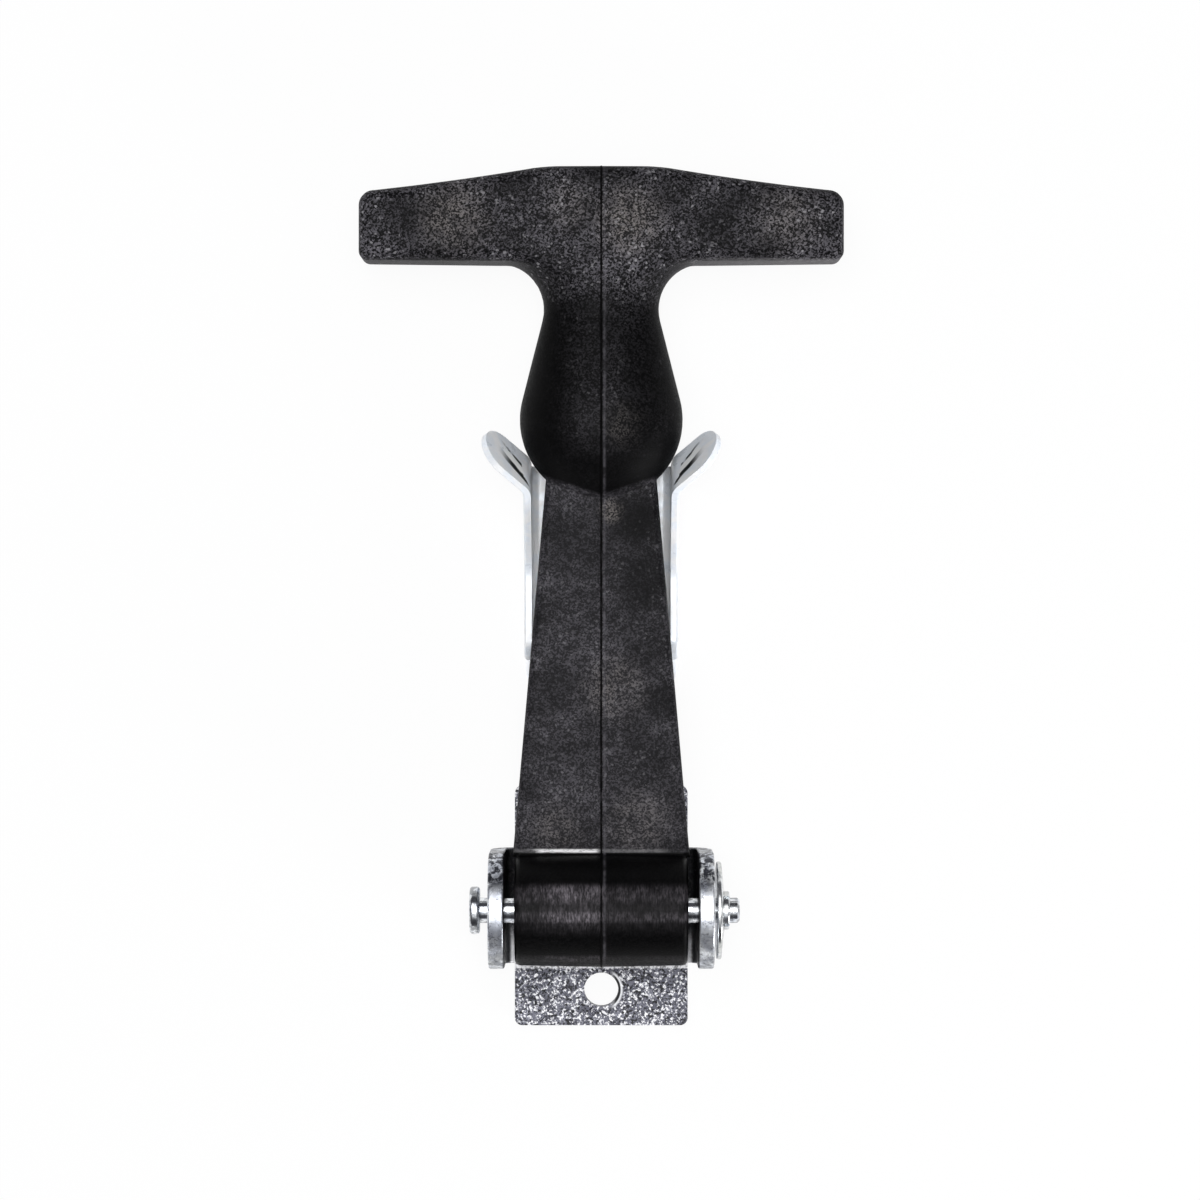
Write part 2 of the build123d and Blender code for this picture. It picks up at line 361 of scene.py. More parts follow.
    def blend(self, share: Socket, first: Paint, second: Paint) -> Socket:
        """Mix two colours.

        Args:
            share: how much of the second colour shows.
            first: a colour or a colour socket.
            second: a colour or a colour socket.

        Returns:
            The mixed colour's socket.
        """
        node = self.tree.nodes.new("ShaderNodeMix")
        node.data_type = "RGBA"
        self.link(share, node.inputs["Factor"])
        paints = [paint if isinstance(paint, Socket) else rgba(paint) for paint in (first, second)]
        self.feed([socket for socket in node.inputs if socket.type == "RGBA"], paints)
        return next(socket for socket in node.outputs if socket.type == "RGBA")

    def bump(self, height: Socket, relief: Relief, below: Socket | None = None) -> Socket:
        """Add relief.

        Args:
            height: pattern to raise.
            relief: its depth and strength.
            below: a coarser relief under this one.

        Returns:
            The normal socket.
        """
        node = self.tree.nodes.new("ShaderNodeBump")
        node.inputs["Distance"].default_value = relief.depth
        node.inputs["Strength"].default_value = relief.strength
        self.link(height, node.inputs["Height"])
        if below is not None:
            self.link(below, node.inputs["Normal"])
        return node.outputs["Normal"]


class Layer:
    """One part of a finish, laid over the colour so far."""

    def paint(self, shader: Shader, colour: Socket) -> Socket:
        """Lay this part over the colour.

        Args:
            shader: material under construction.
            colour: colour so far.

        Returns:
            The colour with this part.
        """
        raise NotImplementedError


@dataclass(frozen=True)
class BarrelHighlight:
    """Pale bands of painted highlight along the crown of the hinge barrel, broken by short strokes
    around it.
    """

    # Colour of the painted highlight bands.
    dust_and_highlight: Colour = (0.240, 0.218, 0.242)
    pivot_height: float = 12.0 * MM
    edge: Ramp = Ramp(9.1 * MM, 9.35 * MM, 1.0, 0.0)
    bands: tuple[Stripe, ...] = (
        Stripe(0.8, 1.38, 4.6, 0.20), Stripe(3.2, 0.54, 1.8, 0.44),
        Stripe(-0.4, 0.33, 1.1, 0.42), Stripe(-7.2, 0.24, 0.8, 0.16),
    )
    right_side: Ramp = Ramp(-1.0 * MM, 1.5 * MM, 1.0, 0.34)
    left_end: Ramp = Ramp(-13.0 * MM, -5.5 * MM, 0.25, 1.0)
    clouds: Breaks = Breaks(Grain(1.6 * MM), Ramp(0.36, 0.62, 0.45, 1.0))
    strokes: Breaks = Breaks(
        Grain(0.26 * MM, detail=2.0, roughness=0.7, stretch=(1.0, 0.22, 0.22)),
        Ramp(0.38, 0.66, 0.30, 1.25),
    )

    def mask(self, shader: Shader) -> Socket:
        """Find the barrel by its distance from the pivot.

        Args:
            shader: material under construction.

        Returns:
            A socket that is 1 on the barrel.
        """
        above = shader.math("SUBTRACT", shader.axes["Z"], self.pivot_height)
        return shader.ramp(shader.length(above, shader.axes["Y"]), self.edge)

    def paint(self, shader: Shader, barrel: Socket, colour: Socket) -> Socket:
        """Lay the painted highlight bands on the front of the barrel.

        Args:
            shader: material under construction.
            barrel: socket that is 1 on the barrel.
            colour: colour so far.

        Returns:
            The colour with the dusty bands.
        """
        share = shader.stripe(shader.axes["Y"], self.bands[0])
        for band in self.bands[1:]:
            share = shader.math("ADD", share, shader.stripe(shader.axes["Y"], band))
        front = shader.math("GREATER_THAN", shader.axes["Z"], self.pivot_height)
        share = shader.times(
            share, shader.across(self.right_side), shader.across(self.left_end), barrel, front,
            shader.breaks(self.clouds), shader.breaks(self.strokes),
        )
        return shader.blend(share, colour, self.dust_and_highlight)


@dataclass(frozen=True)
class CleanShadedBulb:
    """The bulb and neck, which the keeper's hooks and a hand keep free of the dusty bloom, darkest on
    the flanks and the underside, where the darkening is painted shade.
    """

    slope: float = 0.33
    start: Ramp = Ramp(65.2 * MM, 65.9 * MM)
    neck_end: Ramp = Ramp(94.0 * MM, 102.0 * MM, 1.0, 0.0)
    # Painted shade on the bulb's flanks and underside, which turn from the light.
    flank: Ramp = Ramp(2.0 * MM, 8.0 * MM, 0.82, 1.0)
    right_half: Ramp = Ramp(0.3 * MM, 1.5 * MM, 1.0, 0.93)
    low_end: Ramp = Ramp(71.0 * MM, 76.0 * MM, 0.97, 0.0)
    dusty: Patch = Patch(1.0, 78.0, 8.0, 0.16)

    def mask(self, shader: Shader) -> Socket:
        """Find the cleaner rubber and the painted shade on the bulb.

        Args:
            shader: material under construction.

        Returns:
            A socket that is 1 on the flanks and fades towards the strap, the grip and the middle.
        """
        aside = shader.math("ABSOLUTE", shader.axes["X"])
        rounded = shader.math("SUBTRACT", shader.axes["Y"], shader.times(aside, self.slope))
        darkened = shader.times(shader.ramp(aside, self.flank), shader.across(self.right_half))
        darkened = shader.math("MAXIMUM", darkened, shader.along(self.low_end))
        left = shader.math("SUBTRACT", 1.0, shader.patch(self.dusty))
        ends = shader.times(shader.ramp(rounded, self.start), shader.along(self.neck_end))
        return shader.times(ends, darkened, left)


@dataclass(frozen=True)
class LitAndShadedGripEdge(Layer):
    """The grip's lower edge, with a painted highlight on the right arm and painted shade on the left
    one.
    """

    pale: Colour = (0.300, 0.290, 0.298)
    dark: Colour = (0.0013, 0.0013, 0.0014)
    start: Ramp = Ramp(101.7 * MM, 102.1 * MM)
    end: Ramp = Ramp(102.55 * MM, 102.85 * MM, 1.0, 0.0)
    # Pattern that breaks up the painted highlight.
    wear: Breaks = Breaks(Grain(0.7 * MM, detail=4.0, roughness=0.7), Ramp(0.40, 0.60, 0.45, 1.0))
    # Painted highlight on the right arm, painted shade on the left arm.
    pale_arm: Ramp = Ramp(9.0 * MM, 26.0 * MM, 0.0, 0.26)
    dark_arm: Ramp = Ramp(-24.0 * MM, -10.0 * MM, 0.45, 0.0)

    def paint(self, shader: Shader, colour: Socket) -> Socket:
        """Paint the highlight and the shade on the edge."""
        edge = shader.times(shader.along(self.start), shader.along(self.end))
        worn = shader.times(edge, shader.breaks(self.wear), shader.across(self.pale_arm))
        colour = shader.blend(worn, colour, self.pale)
        return shader.blend(shader.times(edge, shader.across(self.dark_arm)), colour, self.dark)


@dataclass(frozen=True)
class Crease(Layer):
    """A painted highlight in the crease where the strap meets the barrel."""

    # Near-white colour of the painted highlight.
    dust_and_highlight: Colour = (0.88, 0.87, 0.88)
    line: Stripe = Stripe(9.45, 0.12, 0.42)
    front: float = 12.0 * MM
    right_side: Ramp = Ramp(-1.2 * MM, 0.2 * MM, 1.0, 0.12)
    ends: Ramp = Ramp(9.0 * MM, 11.5 * MM, 1.0, 0.10)
    drawn: Breaks = Breaks(
        Grain(0.55 * MM, detail=4.0, roughness=0.7, stretch=(0.28, 1.0, 1.0)),
        Ramp(0.36, 0.56, 0.30, 1.0),
    )

    def paint(self, shader: Shader, colour: Socket) -> Socket:
        """Lay the painted highlight."""
        aside = shader.math("ABSOLUTE", shader.axes["X"])
        share = shader.times(
            shader.stripe(shader.axes["Y"], self.line),
            shader.math("GREATER_THAN", shader.axes["Z"], self.front),
            shader.across(self.right_side), shader.ramp(aside, self.ends),
            shader.breaks(self.drawn),
        )
        return shader.blend(share, colour, self.dust_and_highlight)


@dataclass(frozen=True)
class MouldSplit:
    """The mould split: a dark line, a painted highlight on the lip at one side, and a groove along
    it.
    """

    dark: Colour = (0.0008, 0.0008, 0.0009)
    # Colour of the painted highlight on the lip.
    lip: Colour = (0.134, 0.128, 0.143)
    lip_start: Ramp = Ramp(0.17 * MM, 0.45 * MM)
    lip_end: Ramp = Ramp(0.45 * MM, 0.90 * MM, 1.0, 0.0)
    lip_breaks: Ramp = Ramp(0.40, 0.62, 0.10, 0.40)
    edge: Ramp = Ramp(0.119 * MM, 0.17 * MM, 1.0, 0.0)
    breaks: Ramp = Ramp(0.36, 0.52, 0.55, 1.0)
    groove_wall: Ramp = Ramp(0.0, 0.272 * MM)
    groove: Relief = Relief(0.10 * MM, 0.7)

    def paint(self, shader: Shader, mottle: Socket, colour: Socket) -> tuple[Socket, Socket]:
        """Draw the line and the painted highlight on its lip.

        Args:
            shader: material under construction.
            mottle: pattern that breaks them up.
            colour: colour so far.

        Returns:
            The colour with the line, and a socket that is 1 on the line.
        """
        lip = shader.times(shader.across(self.lip_start), shader.across(self.lip_end),
                           shader.ramp(mottle, self.lip_breaks))
        colour = shader.blend(lip, colour, self.lip)
        aside = shader.math("ABSOLUTE", shader.axes["X"])
        line = shader.times(shader.ramp(aside, self.edge), shader.ramp(mottle, self.breaks))
        return shader.blend(line, colour, self.dark), line

    def cut(self, shader: Shader, below: Socket) -> Socket:
        """Sink the groove into the surface.

        Args:
            shader: material under construction.
            below: relief of the rubber.

        Returns:
            The normal socket.
        """
        wall = shader.ramp(shader.math("ABSOLUTE", shader.axes["X"]), self.groove_wall)
        return shader.bump(wall, self.groove, below)


@dataclass(frozen=True)
class Patterns:
    """The rubber's shared patterns: fine grit, and small and large clouds."""

    grit: Socket
    mottle: Socket
    drift: Socket


@dataclass(frozen=True)
class RubberFinish:
    """Matte black rubber, straight from the mould."""

    name: str = "moulded_rubber"
    dark: Colour = (0.0022, 0.0022, 0.0026)
    pale: Colour = (0.134, 0.128, 0.143)
    dust_and_highlight: Colour = (0.235, 0.214, 0.200)
    darkest: Colour = (0.0013, 0.0013, 0.0014)
    glint: Colour = (0.42, 0.41, 0.43)
    specular: float = 0.05

    grit: Grit = Grit(Grain(0.25 * MM, detail=2.0, roughness=0.8), 0.25 * MM, 0.66)
    mottle: Grain = Grain(1.9 * MM, detail=4.0, roughness=0.62)
    drift: Grain = Grain(11.0 * MM, roughness=0.6)
    specks: Ramp = Ramp(0.43, 0.64)
    speck_mean: float = 0.42
    speck_contrast: Ramp = Ramp(62.0 * MM, 98.0 * MM, 0.60, 1.0)
    drift_tone: Ramp = Ramp(0.34, 0.66, 0.46, 1.1)
    mottle_tone: Ramp = Ramp(0.35, 0.65, 0.66, 1.0)
    strap_tone: Ramp = Ramp(55.0 * MM, 98.0 * MM, 0.86, 1.0)

    scuffs: tuple[Patch, ...] = (
        Patch(-23.0, 109.0, 8.0, 0.55), Patch(4.5, 108.5, 7.5, 0.75), Patch(29.0, 109.0, 8.0, 0.35),
        Patch(-5.0, 111.0, 6.0, 0.30), Patch(3.5, 76.5, 5.0, 0.50), Patch(1.6, 63.0, 2.6, 0.90),
        Patch(2.0, 35.0, 7.0, 0.40), Patch(6.0, 14.0, 7.0, 0.35), Patch(-7.0, 13.0, 6.0, 0.30),
    )
    scuff_mottle: Ramp = Ramp(0.40, 0.60, 0.35, 1.0)
    scuff_grit: Ramp = Ramp(0.40, 0.66, 0.05, 1.0)
    # Patches that darken the rubber.
    dark_patches: tuple[Patch, ...] = (
        Patch(7.5, 62.0, 8.5, 0.80), Patch(7.0, 52.0, 9.0, 0.66), Patch(9.0, 42.0, 7.0, 0.40),
        Patch(7.5, 24.0, 6.5, 0.40), Patch(10.0, 33.0, 5.0, 0.35), Patch(-9.5, 47.0, 6.0, 0.25),
        Patch(-9.0, 101.0, 6.0, 0.55), Patch(10.0, 101.5, 6.0, 0.45), Patch(10.5, 113.0, 6.0, 0.45),
        Patch(17.5, 108.0, 8.0, 0.50), Patch(-32.5, 108.5, 6.0, 0.40),
        Patch(-14.0, 114.5, 7.0, 0.45), Patch(0.0, 117.0, 6.5, 0.50), Patch(24.0, 113.5, 6.0, 0.40),
        Patch(-24.0, 103.5, 4.0, 0.35), Patch(-13.0, 105.0, 5.0, 0.30),
        Patch(27.0, 104.0, 4.5, 0.40), Patch(36.5, 108.0, 4.0, 0.35),
    )
    glint_cell: float = 0.34 * MM
    glint_pick: Ramp = Ramp(0.955, 0.975)
    glint_reach: Ramp = Ramp(60.0 * MM, 98.0 * MM, 0.35, 1.0)
    glint_drift: Ramp = Ramp(0.42, 0.62, 0.10, 0.50)

    barrel: BarrelHighlight = BarrelHighlight()
    bulb: CleanShadedBulb = CleanShadedBulb()
    grip: LitAndShadedGripEdge = LitAndShadedGripEdge()
    crease: Crease = Crease()
    split: MouldSplit = MouldSplit()
    darkening_share: float = 0.97

    matte: Ramp = Ramp(0.40, 0.66, 0.44, 0.60)
    barrel_polish: float = 0.12
    split_roughness: float = 0.3
    waves: Relief = Relief(0.30 * MM, 0.3)
    pebbles: Relief = Relief(0.08 * MM, 0.7)

    def material(self) -> bpy.types.Material:
        """Build the material.

        Returns:
            Rubber with a coarse moulded grain, dusty scuffs, a cleaner bulb and barrel, painted shade
            on the bulb, painted highlights on the barrel, in the crease and on the mould split's lip,
            painted light and shade on the grip's edge, and the dark line of the mould split.
        """
        shader = Shader(self.name)
        seen = Patterns(shader.grit(self.grit), shader.noise(self.mottle), shader.noise(self.drift))
        colour = self.handled(shader, seen, self.moulded(shader, seen))
        barrel = self.barrel.mask(shader)
        # Darken the barrel, and paint shade on the bulb's flanks and underside.
        darkened = shader.math("MAXIMUM", barrel, self.bulb.mask(shader))
        colour = shader.blend(shader.times(darkened, self.darkening_share), colour, self.darkest)
        # Painted highlight: pale bands along the barrel's crown.
        colour = self.barrel.paint(shader, barrel, colour)
        # Painted light and shade on the grip's edge, and a painted highlight in the crease.
        for layer in (self.grip, self.crease):
            colour = layer.paint(shader, colour)
        colour, line = self.split.paint(shader, seen.mottle, colour)
        matte = shader.math("SUBTRACT", shader.ramp(seen.grit, self.matte),
                            shader.times(barrel, self.barrel_polish))
        roughness = shader.math("ADD", matte, shader.times(line, self.split_roughness), clamp=True)
        pebbled = shader.bump(seen.grit, self.pebbles, shader.bump(seen.drift, self.waves))
        shader.link(colour, shader.bsdf.inputs["Base Color"])
        shader.link(roughness, shader.bsdf.inputs["Roughness"])
        shader.link(self.split.cut(shader, pebbled), shader.bsdf.inputs["Normal"])
        shader.bsdf.inputs["Specular IOR Level"].default_value = self.specular
        return shader.material

    def moulded(self, shader: Shader, seen: Patterns) -> Socket:
        """Colour the rubber as it leaves the mould: a grain that is weaker on the strap.

        Args:
            shader: material under construction.
            seen: the shared patterns.

        Returns:
            The colour.
        """
        specks = shader.math("SUBTRACT", shader.ramp(seen.grit, self.specks), self.speck_mean)
        specks = shader.times(specks, shader.along(self.speck_contrast))
        tone = shader.times(
            shader.math("ADD", specks, self.speck_mean), shader.ramp(seen.drift, self.drift_tone),
            shader.ramp(seen.mottle, self.mottle_tone), shader.along(self.strap_tone),
        )
        return shader.blend(tone, self.dark, self.pale)

    def handled(self, shader: Shader, seen: Patterns, colour: Socket) -> Socket:
        """Add dusty scuffs, darker patches and sparse painted glints.

        Args:
            shader: material under construction.
            seen: the shared patterns.
            colour: colour so far.

        Returns:
            The colour with all three.
        """
        scuffed = shader.times(
            shader.patches(self.scuffs), shader.ramp(seen.mottle, self.scuff_mottle),
            shader.ramp(seen.grit, self.scuff_grit),
        )
        colour = shader.blend(scuffed, colour, self.dust_and_highlight)
        colour = shader.blend(shader.patches(self.dark_patches), colour, self.darkest)
        # Painted glints: sparse pale specks.
        glints = shader.times(
            shader.ramp(shader.cells(self.glint_cell), self.glint_pick),
            shader.along(self.glint_reach), shader.ramp(seen.drift, self.glint_drift),
        )
        return shader.blend(glints, colour, self.glint)


@dataclass(frozen=True)
class Worn:
    """Colour, roughness and metallic share of a finish, as its wear and its painted light leave them.
    """

    colour: Socket
    rough: Socket
    metal: Value


@dataclass(frozen=True)
class ZincFinish:
    """Zinc-plated steel."""

    name: str
    cool: Colour = (0.62, 0.65, 0.72)
    warm: Colour = (0.86, 0.88, 0.90)
    stain: Colour = (0.045, 0.047, 0.058)
    metallic: float = 0.9
    roughness: float = 0.24
    tarnish: float = 0.25
    ripple: float = 0.06 * MM
    ripple_strength: float = 0.5

    drift: Grain = Grain(4.0 * MM, detail=4.0, roughness=0.6, distortion=0.8)
    drift_tone: Ramp = Ramp(0.38, 0.62)
    drift_range: tuple[float, float] = (0.3, 0.7)
    rough_range: tuple[float, float] = (0.8, 1.3)
    blots: Grain = Grain(1.1 * MM, detail=4.0, roughness=0.65)
    dull: Ramp = Ramp(0.44, 0.60, 1.0, 0.0)
    dull_roughness: float = 0.25
    blot_relief: Relief = Relief(0.03 * MM, 0.25)
    broad: Grain = Grain(3.6 * MM, detail=2.0)

    def material(self) -> bpy.types.Material:
        """Build the material.

        Returns:
            Plated metal whose tone drifts, with blotches of tarnish and a slightly rippled face.
        """
        shader = Shader(self.name)
        drift, blots = shader.noise(self.drift), shader.noise(self.blots)
        colour = shader.blend(shader.ramp(drift, self.drift_tone), self.cool, self.warm)
        dull = shader.times(shader.ramp(blots, self.dull), self.tarnish)
        colour = shader.blend(dull, colour, self.stain)
        ends = (self.roughness * share for share in self.rough_range)
        rough = shader.math("ADD", shader.ramp(drift, Ramp(*self.drift_range, *ends)),
                            shader.times(dull, self.dull_roughness))
        worn = self.wear(shader, Worn(colour, rough, self.metallic))
        shader.feed([shader.bsdf.inputs[name] for name in ("Base Color", "Roughness", "Metallic")],
                    (worn.colour, worn.rough, worn.metal))
        wavy = shader.bump(shader.noise(self.broad), Relief(self.ripple, self.ripple_strength))
        shader.link(shader.bump(blots, self.blot_relief, wavy), shader.bsdf.inputs["Normal"])
        return shader.material

    def wear(self, shader: Shader, new: Worn) -> Worn:
        """Add a piece's wear and painted light to the finish; plain zinc has neither.

        Args:
            shader: material under construction.
            new: the finish before its wear.

        Returns:
            The finish after it.
        """
        return new


@dataclass(frozen=True)
class Spangle:
    """The bracket's dull base: zinc crystals, pits and a strip of painted highlight under the barrel.
    """

    ground: Colour = (0.078, 0.079, 0.105)
    haze: Colour = (0.165, 0.168, 0.210)
    spark: Colour = (0.88, 0.88, 0.90)
    pit: Colour = (0.004, 0.004, 0.006)
    top: Ramp = Ramp(2.55 * MM, 3.5 * MM, 1.0, 0.0)
    roughness: float = 0.22
    metallic_loss: float = 0.65
    grit: Grit = Grit(Grain(0.32 * MM, detail=2.0, roughness=0.75), 0.38 * MM, 0.7)
    sparks: Ramp = Ramp(0.586, 0.620)
    spark_share: float = 0.95
    pits: Ramp = Ramp(0.405, 0.440, 1.0, 0.0)
    clouds: Breaks = Breaks(Grain(1.6 * MM), Ramp(0.35, 0.65))
    highlight_start: Ramp = Ramp(-10.2 * MM, -9.95 * MM)
    highlight_end: Ramp = Ramp(-8.0 * MM, -7.0 * MM, 1.0, 0.0)
    highlight_grit: Ramp = Ramp(0.40, 0.52, 0.30, 0.95)

    def paint(self, shader: Shader, new: Worn) -> Worn:
        """Lay the spangle on the base and leave the ears as they are.

        Args:
            shader: material under construction.
            new: finish of the ears.

        Returns:
            The finish of both.
        """
        base, grit = shader.ramp(shader.axes["Z"], self.top), shader.grit(self.grit)
        colour = shader.blend(shader.breaks(self.clouds), self.ground, self.haze)
        colour = shader.blend(shader.ramp(grit, self.pits), colour, self.pit)
        sparks = shader.times(shader.ramp(grit, self.sparks), self.spark_share)
        colour = shader.blend(sparks, colour, self.spark)
        # Painted highlight: a bright strip on the base just under the barrel.
        strip_highlight = shader.times(shader.along(self.highlight_start), shader.along(self.highlight_end),
                              shader.ramp(grit, self.highlight_grit))
        colour = shader.blend(strip_highlight, colour, self.spark)
        return Worn(
            shader.blend(base, new.colour, colour),
            shader.math("ADD", new.rough, shader.times(base, self.roughness)),
            shader.math("SUBTRACT", new.metal, shader.times(base, self.metallic_loss)),
        )


@dataclass(frozen=True)
class EarTarnishAndShade(Layer):
    """Dark blotches of tarnish and painted shade towards the ends of the ears' rims, which turn from
    the light, and fine dark veins all over them.
    """

    stain: Colour = (0.045, 0.047, 0.058)
    blots: Breaks = Breaks(
        Grain(1.2 * MM, detail=4.0, roughness=0.7, distortion=0.5), Ramp(0.47, 0.56, 1.0, 0.0),
    )
    # Painted shade towards both ends of each ear's rim.
    strap_end: Ramp = Ramp(3.4 * MM, 5.6 * MM)
    far_end: Ramp = Ramp(-7.5 * MM, -3.8 * MM, 0.50, 0.0)
    veins: Grain = Grain(1.7 * MM, distortion=1.0)
    vein_share: Ramp = Ramp(0.004, 0.018, 0.65, 0.0)

    def paint(self, shader: Shader, colour: Socket) -> Socket:
        """Tarnish the ears and paint shade on the ends of their rims."""
        ends = shader.math("MAXIMUM", shader.along(self.strap_end), shader.along(self.far_end))
        blots = shader.times(shader.breaks(self.blots), ends)
        colour = shader.blend(blots, colour, self.stain)
        vein = shader.gap(shader.noise(self.veins), NOISE_MIDDLE)
        return shader.blend(shader.ramp(vein, self.vein_share), colour, self.stain)


@dataclass(frozen=True)
class ShadedSlots(Layer):
    """Painted shade in the slots beside the barrel, with a painted highlight on a strip along the
    barrel's lower half.
    """

    # Colours of the painted shade in the slots and of the painted highlight strip.
    slot_shade: Colour = (0.012, 0.012, 0.014)
    bright: Colour = (0.88, 0.88, 0.90)
    ear: Ramp = Ramp(15.25 * MM, 15.55 * MM, 1.0, 0.0)
    reach: Ramp = Ramp(8.9 * MM, 9.4 * MM, 1.0, 0.0)
    lit_half: Ramp = Ramp(-6.5 * MM, -2.5 * MM, 1.0, 0.0)
    lit_outside: Ramp = Ramp(14.25 * MM, 14.75 * MM, 1.0, 0.0)
    lit_inside: Ramp = Ramp(13.3 * MM, 13.5 * MM)
    lit_share: float = 0.8
    slot_shade_share: float = 0.93

    def paint(self, shader: Shader, colour: Socket) -> Socket:
        """Paint the shade in the slots and the highlight on the strip."""
        aside = shader.math("ABSOLUTE", shader.axes["X"])
        off = shader.math("ABSOLUTE", shader.axes["Y"])
        slot = shader.times(shader.ramp(aside, self.ear), shader.ramp(off, self.reach))
        lit_strip = shader.times(
            slot, shader.along(self.lit_half), shader.ramp(aside, self.lit_outside),
            shader.ramp(aside, self.lit_inside),
        )
        colour = shader.blend(shader.times(lit_strip, self.lit_share), colour, self.bright)
        shaded_slot = shader.times(shader.math("SUBTRACT", slot, lit_strip), self.slot_shade_share)
        return shader.blend(shaded_slot, colour, self.slot_shade)


@dataclass(frozen=True)
class HoleShading(Layer):
    """The punched edge of the screw hole: a crescent of painted shade inside a crescent of painted
    highlight.
    """

    hole: tuple[float, float] = (0.0, -13.5 * MM)
    # Colours of the painted shade and the painted highlight.
    dark: Colour = (0.004, 0.004, 0.006)
    bright: Colour = (0.88, 0.88, 0.90)
    side: Ramp = Ramp(1.3 * MM, 2.4 * MM)
    outer: Ramp = Ramp(3.3 * MM, 3.6 * MM, 0.85, 0.0)
    inner: Ramp = Ramp(3.07 * MM, 3.17 * MM, 1.0, 0.0)

    def paint(self, shader: Shader, colour: Socket) -> Socket:
        """Paint the shade and the highlight on the edge."""
        x, y = self.hole
        off = shader.length(shader.math("SUBTRACT", shader.axes["Y"], y),
                            shader.math("SUBTRACT", shader.axes["X"], x))
        side = shader.across(self.side)
        colour = shader.blend(shader.times(side, shader.ramp(off, self.outer)), colour, self.bright)
        return shader.blend(shader.times(side, shader.ramp(off, self.inner)), colour, self.dark)


@dataclass(frozen=True)
class BracketZinc(ZincFinish):
    """The bracket's zinc: bright ears over a dull, spangled base."""

    ears: EarTarnishAndShade = EarTarnishAndShade()
    base: Spangle = Spangle()
    slots: ShadedSlots = ShadedSlots()
    hole_shading: HoleShading = HoleShading()

    def wear(self, shader: Shader, new: Worn) -> Worn:
        """Tarnish and shade the ears, spangle the base, paint shade and a highlight in the slots
        beside the barrel, and paint shade and a highlight on the edge of the screw hole.

        Args:
            shader: material under construction.
            new: the finish before its wear.

        Returns:
            The finish after it.
        """
        tarnished = self.ears.paint(shader, new.colour)
        worn = self.base.paint(shader, Worn(tarnished, new.rough, new.metal))
        colour = self.hole_shading.paint(shader, self.slots.paint(shader, worn.colour))
        return Worn(colour, worn.rough, worn.metal)


@dataclass(frozen=True)
class KeeperZinc(ZincFinish):
    """The keeper's zinc, with dark and bright painted reflections along the hooks."""

    mark_x: float = 11.2 * MM
    mark_y: float = 66.7 * MM
    mark_slope: float = 1.17
    wander: Grain = Grain(3.0 * MM, detail=1.0)
    wander_reach: float = 0.7 * MM
    # Stripes of painted reflection along each hook: two dark, one bright.
    low_mark: Stripe = Stripe(0.45, 0.30, 0.55)
    bright_mark: Stripe = Stripe(1.35, 0.35, 0.60)
    high_mark: Stripe = Stripe(2.05, 0.06, 0.34)
    high_breaks: Breaks = Breaks(Grain(1.4 * MM, detail=2.0), Ramp(0.42, 0.52, 0.25, 1.0))
    hook_start: float = 65.7 * MM
    mark_start: float = 9.0 * MM
    root_lift: Ramp = Ramp(1.0 * MM, 1.8 * MM, 3.6 * MM, 0.0)
    mark_end: Ramp = Ramp(2.8 * MM, 5.2 * MM, 1.0, 0.0)
    # Colours of the dark and the bright painted reflections.
    drawn: Colour = (0.015, 0.017, 0.017)
    reflection_highlight: Colour = (0.98, 0.99, 0.98)

    def wear(self, shader: Shader, new: Worn) -> Worn:
        """Paint dark and bright reflections along each hook.

        Args:
            shader: material under construction.
            new: the finish before its wear.

        Returns:
            The finish after it.
        """
        along, up = shader.axes["Y"], shader.axes["Z"]
        out = shader.math("SUBTRACT", shader.math("ABSOLUTE", shader.axes["X"]), self.mark_x)
        over = shader.math("SUBTRACT", shader.math("SUBTRACT", along, self.mark_y),
                           shader.times(out, self.mark_slope))
        wander = shader.math("SUBTRACT", shader.noise(self.wander), NOISE_MIDDLE)
        over = shader.math("ADD", over, shader.times(wander, self.wander_reach))
        start = shader.math("ADD", shader.ramp(out, self.root_lift), self.mark_start)
        hook = shader.times(shader.math("GREATER_THAN", along, self.hook_start),
                            shader.math("GREATER_THAN", up, start), shader.ramp(out, self.mark_end))
        high = shader.times(shader.stripe(over, self.high_mark), shader.breaks(self.high_breaks))
        dark = shader.math("MAXIMUM", shader.stripe(over, self.low_mark), high)
        colour = shader.blend(shader.times(dark, hook), new.colour, self.drawn)
        bright = shader.times(shader.stripe(over, self.bright_mark), hook)
        return Worn(shader.blend(bright, colour, self.reflection_highlight), new.rough, new.metal)


def dress(node: str, material: bpy.types.Material) -> bpy.types.Object:
    """Give a CAD node its finish.

    Args:
        node: name of the CAD node.
        material: finish for all of it.

    Returns:
        The node's object.
    """
    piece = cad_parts[node]
    piece.data.materials.clear()
    piece.data.materials.append(material)
    log.info("%s wears %s", node, material.name)
    return piece


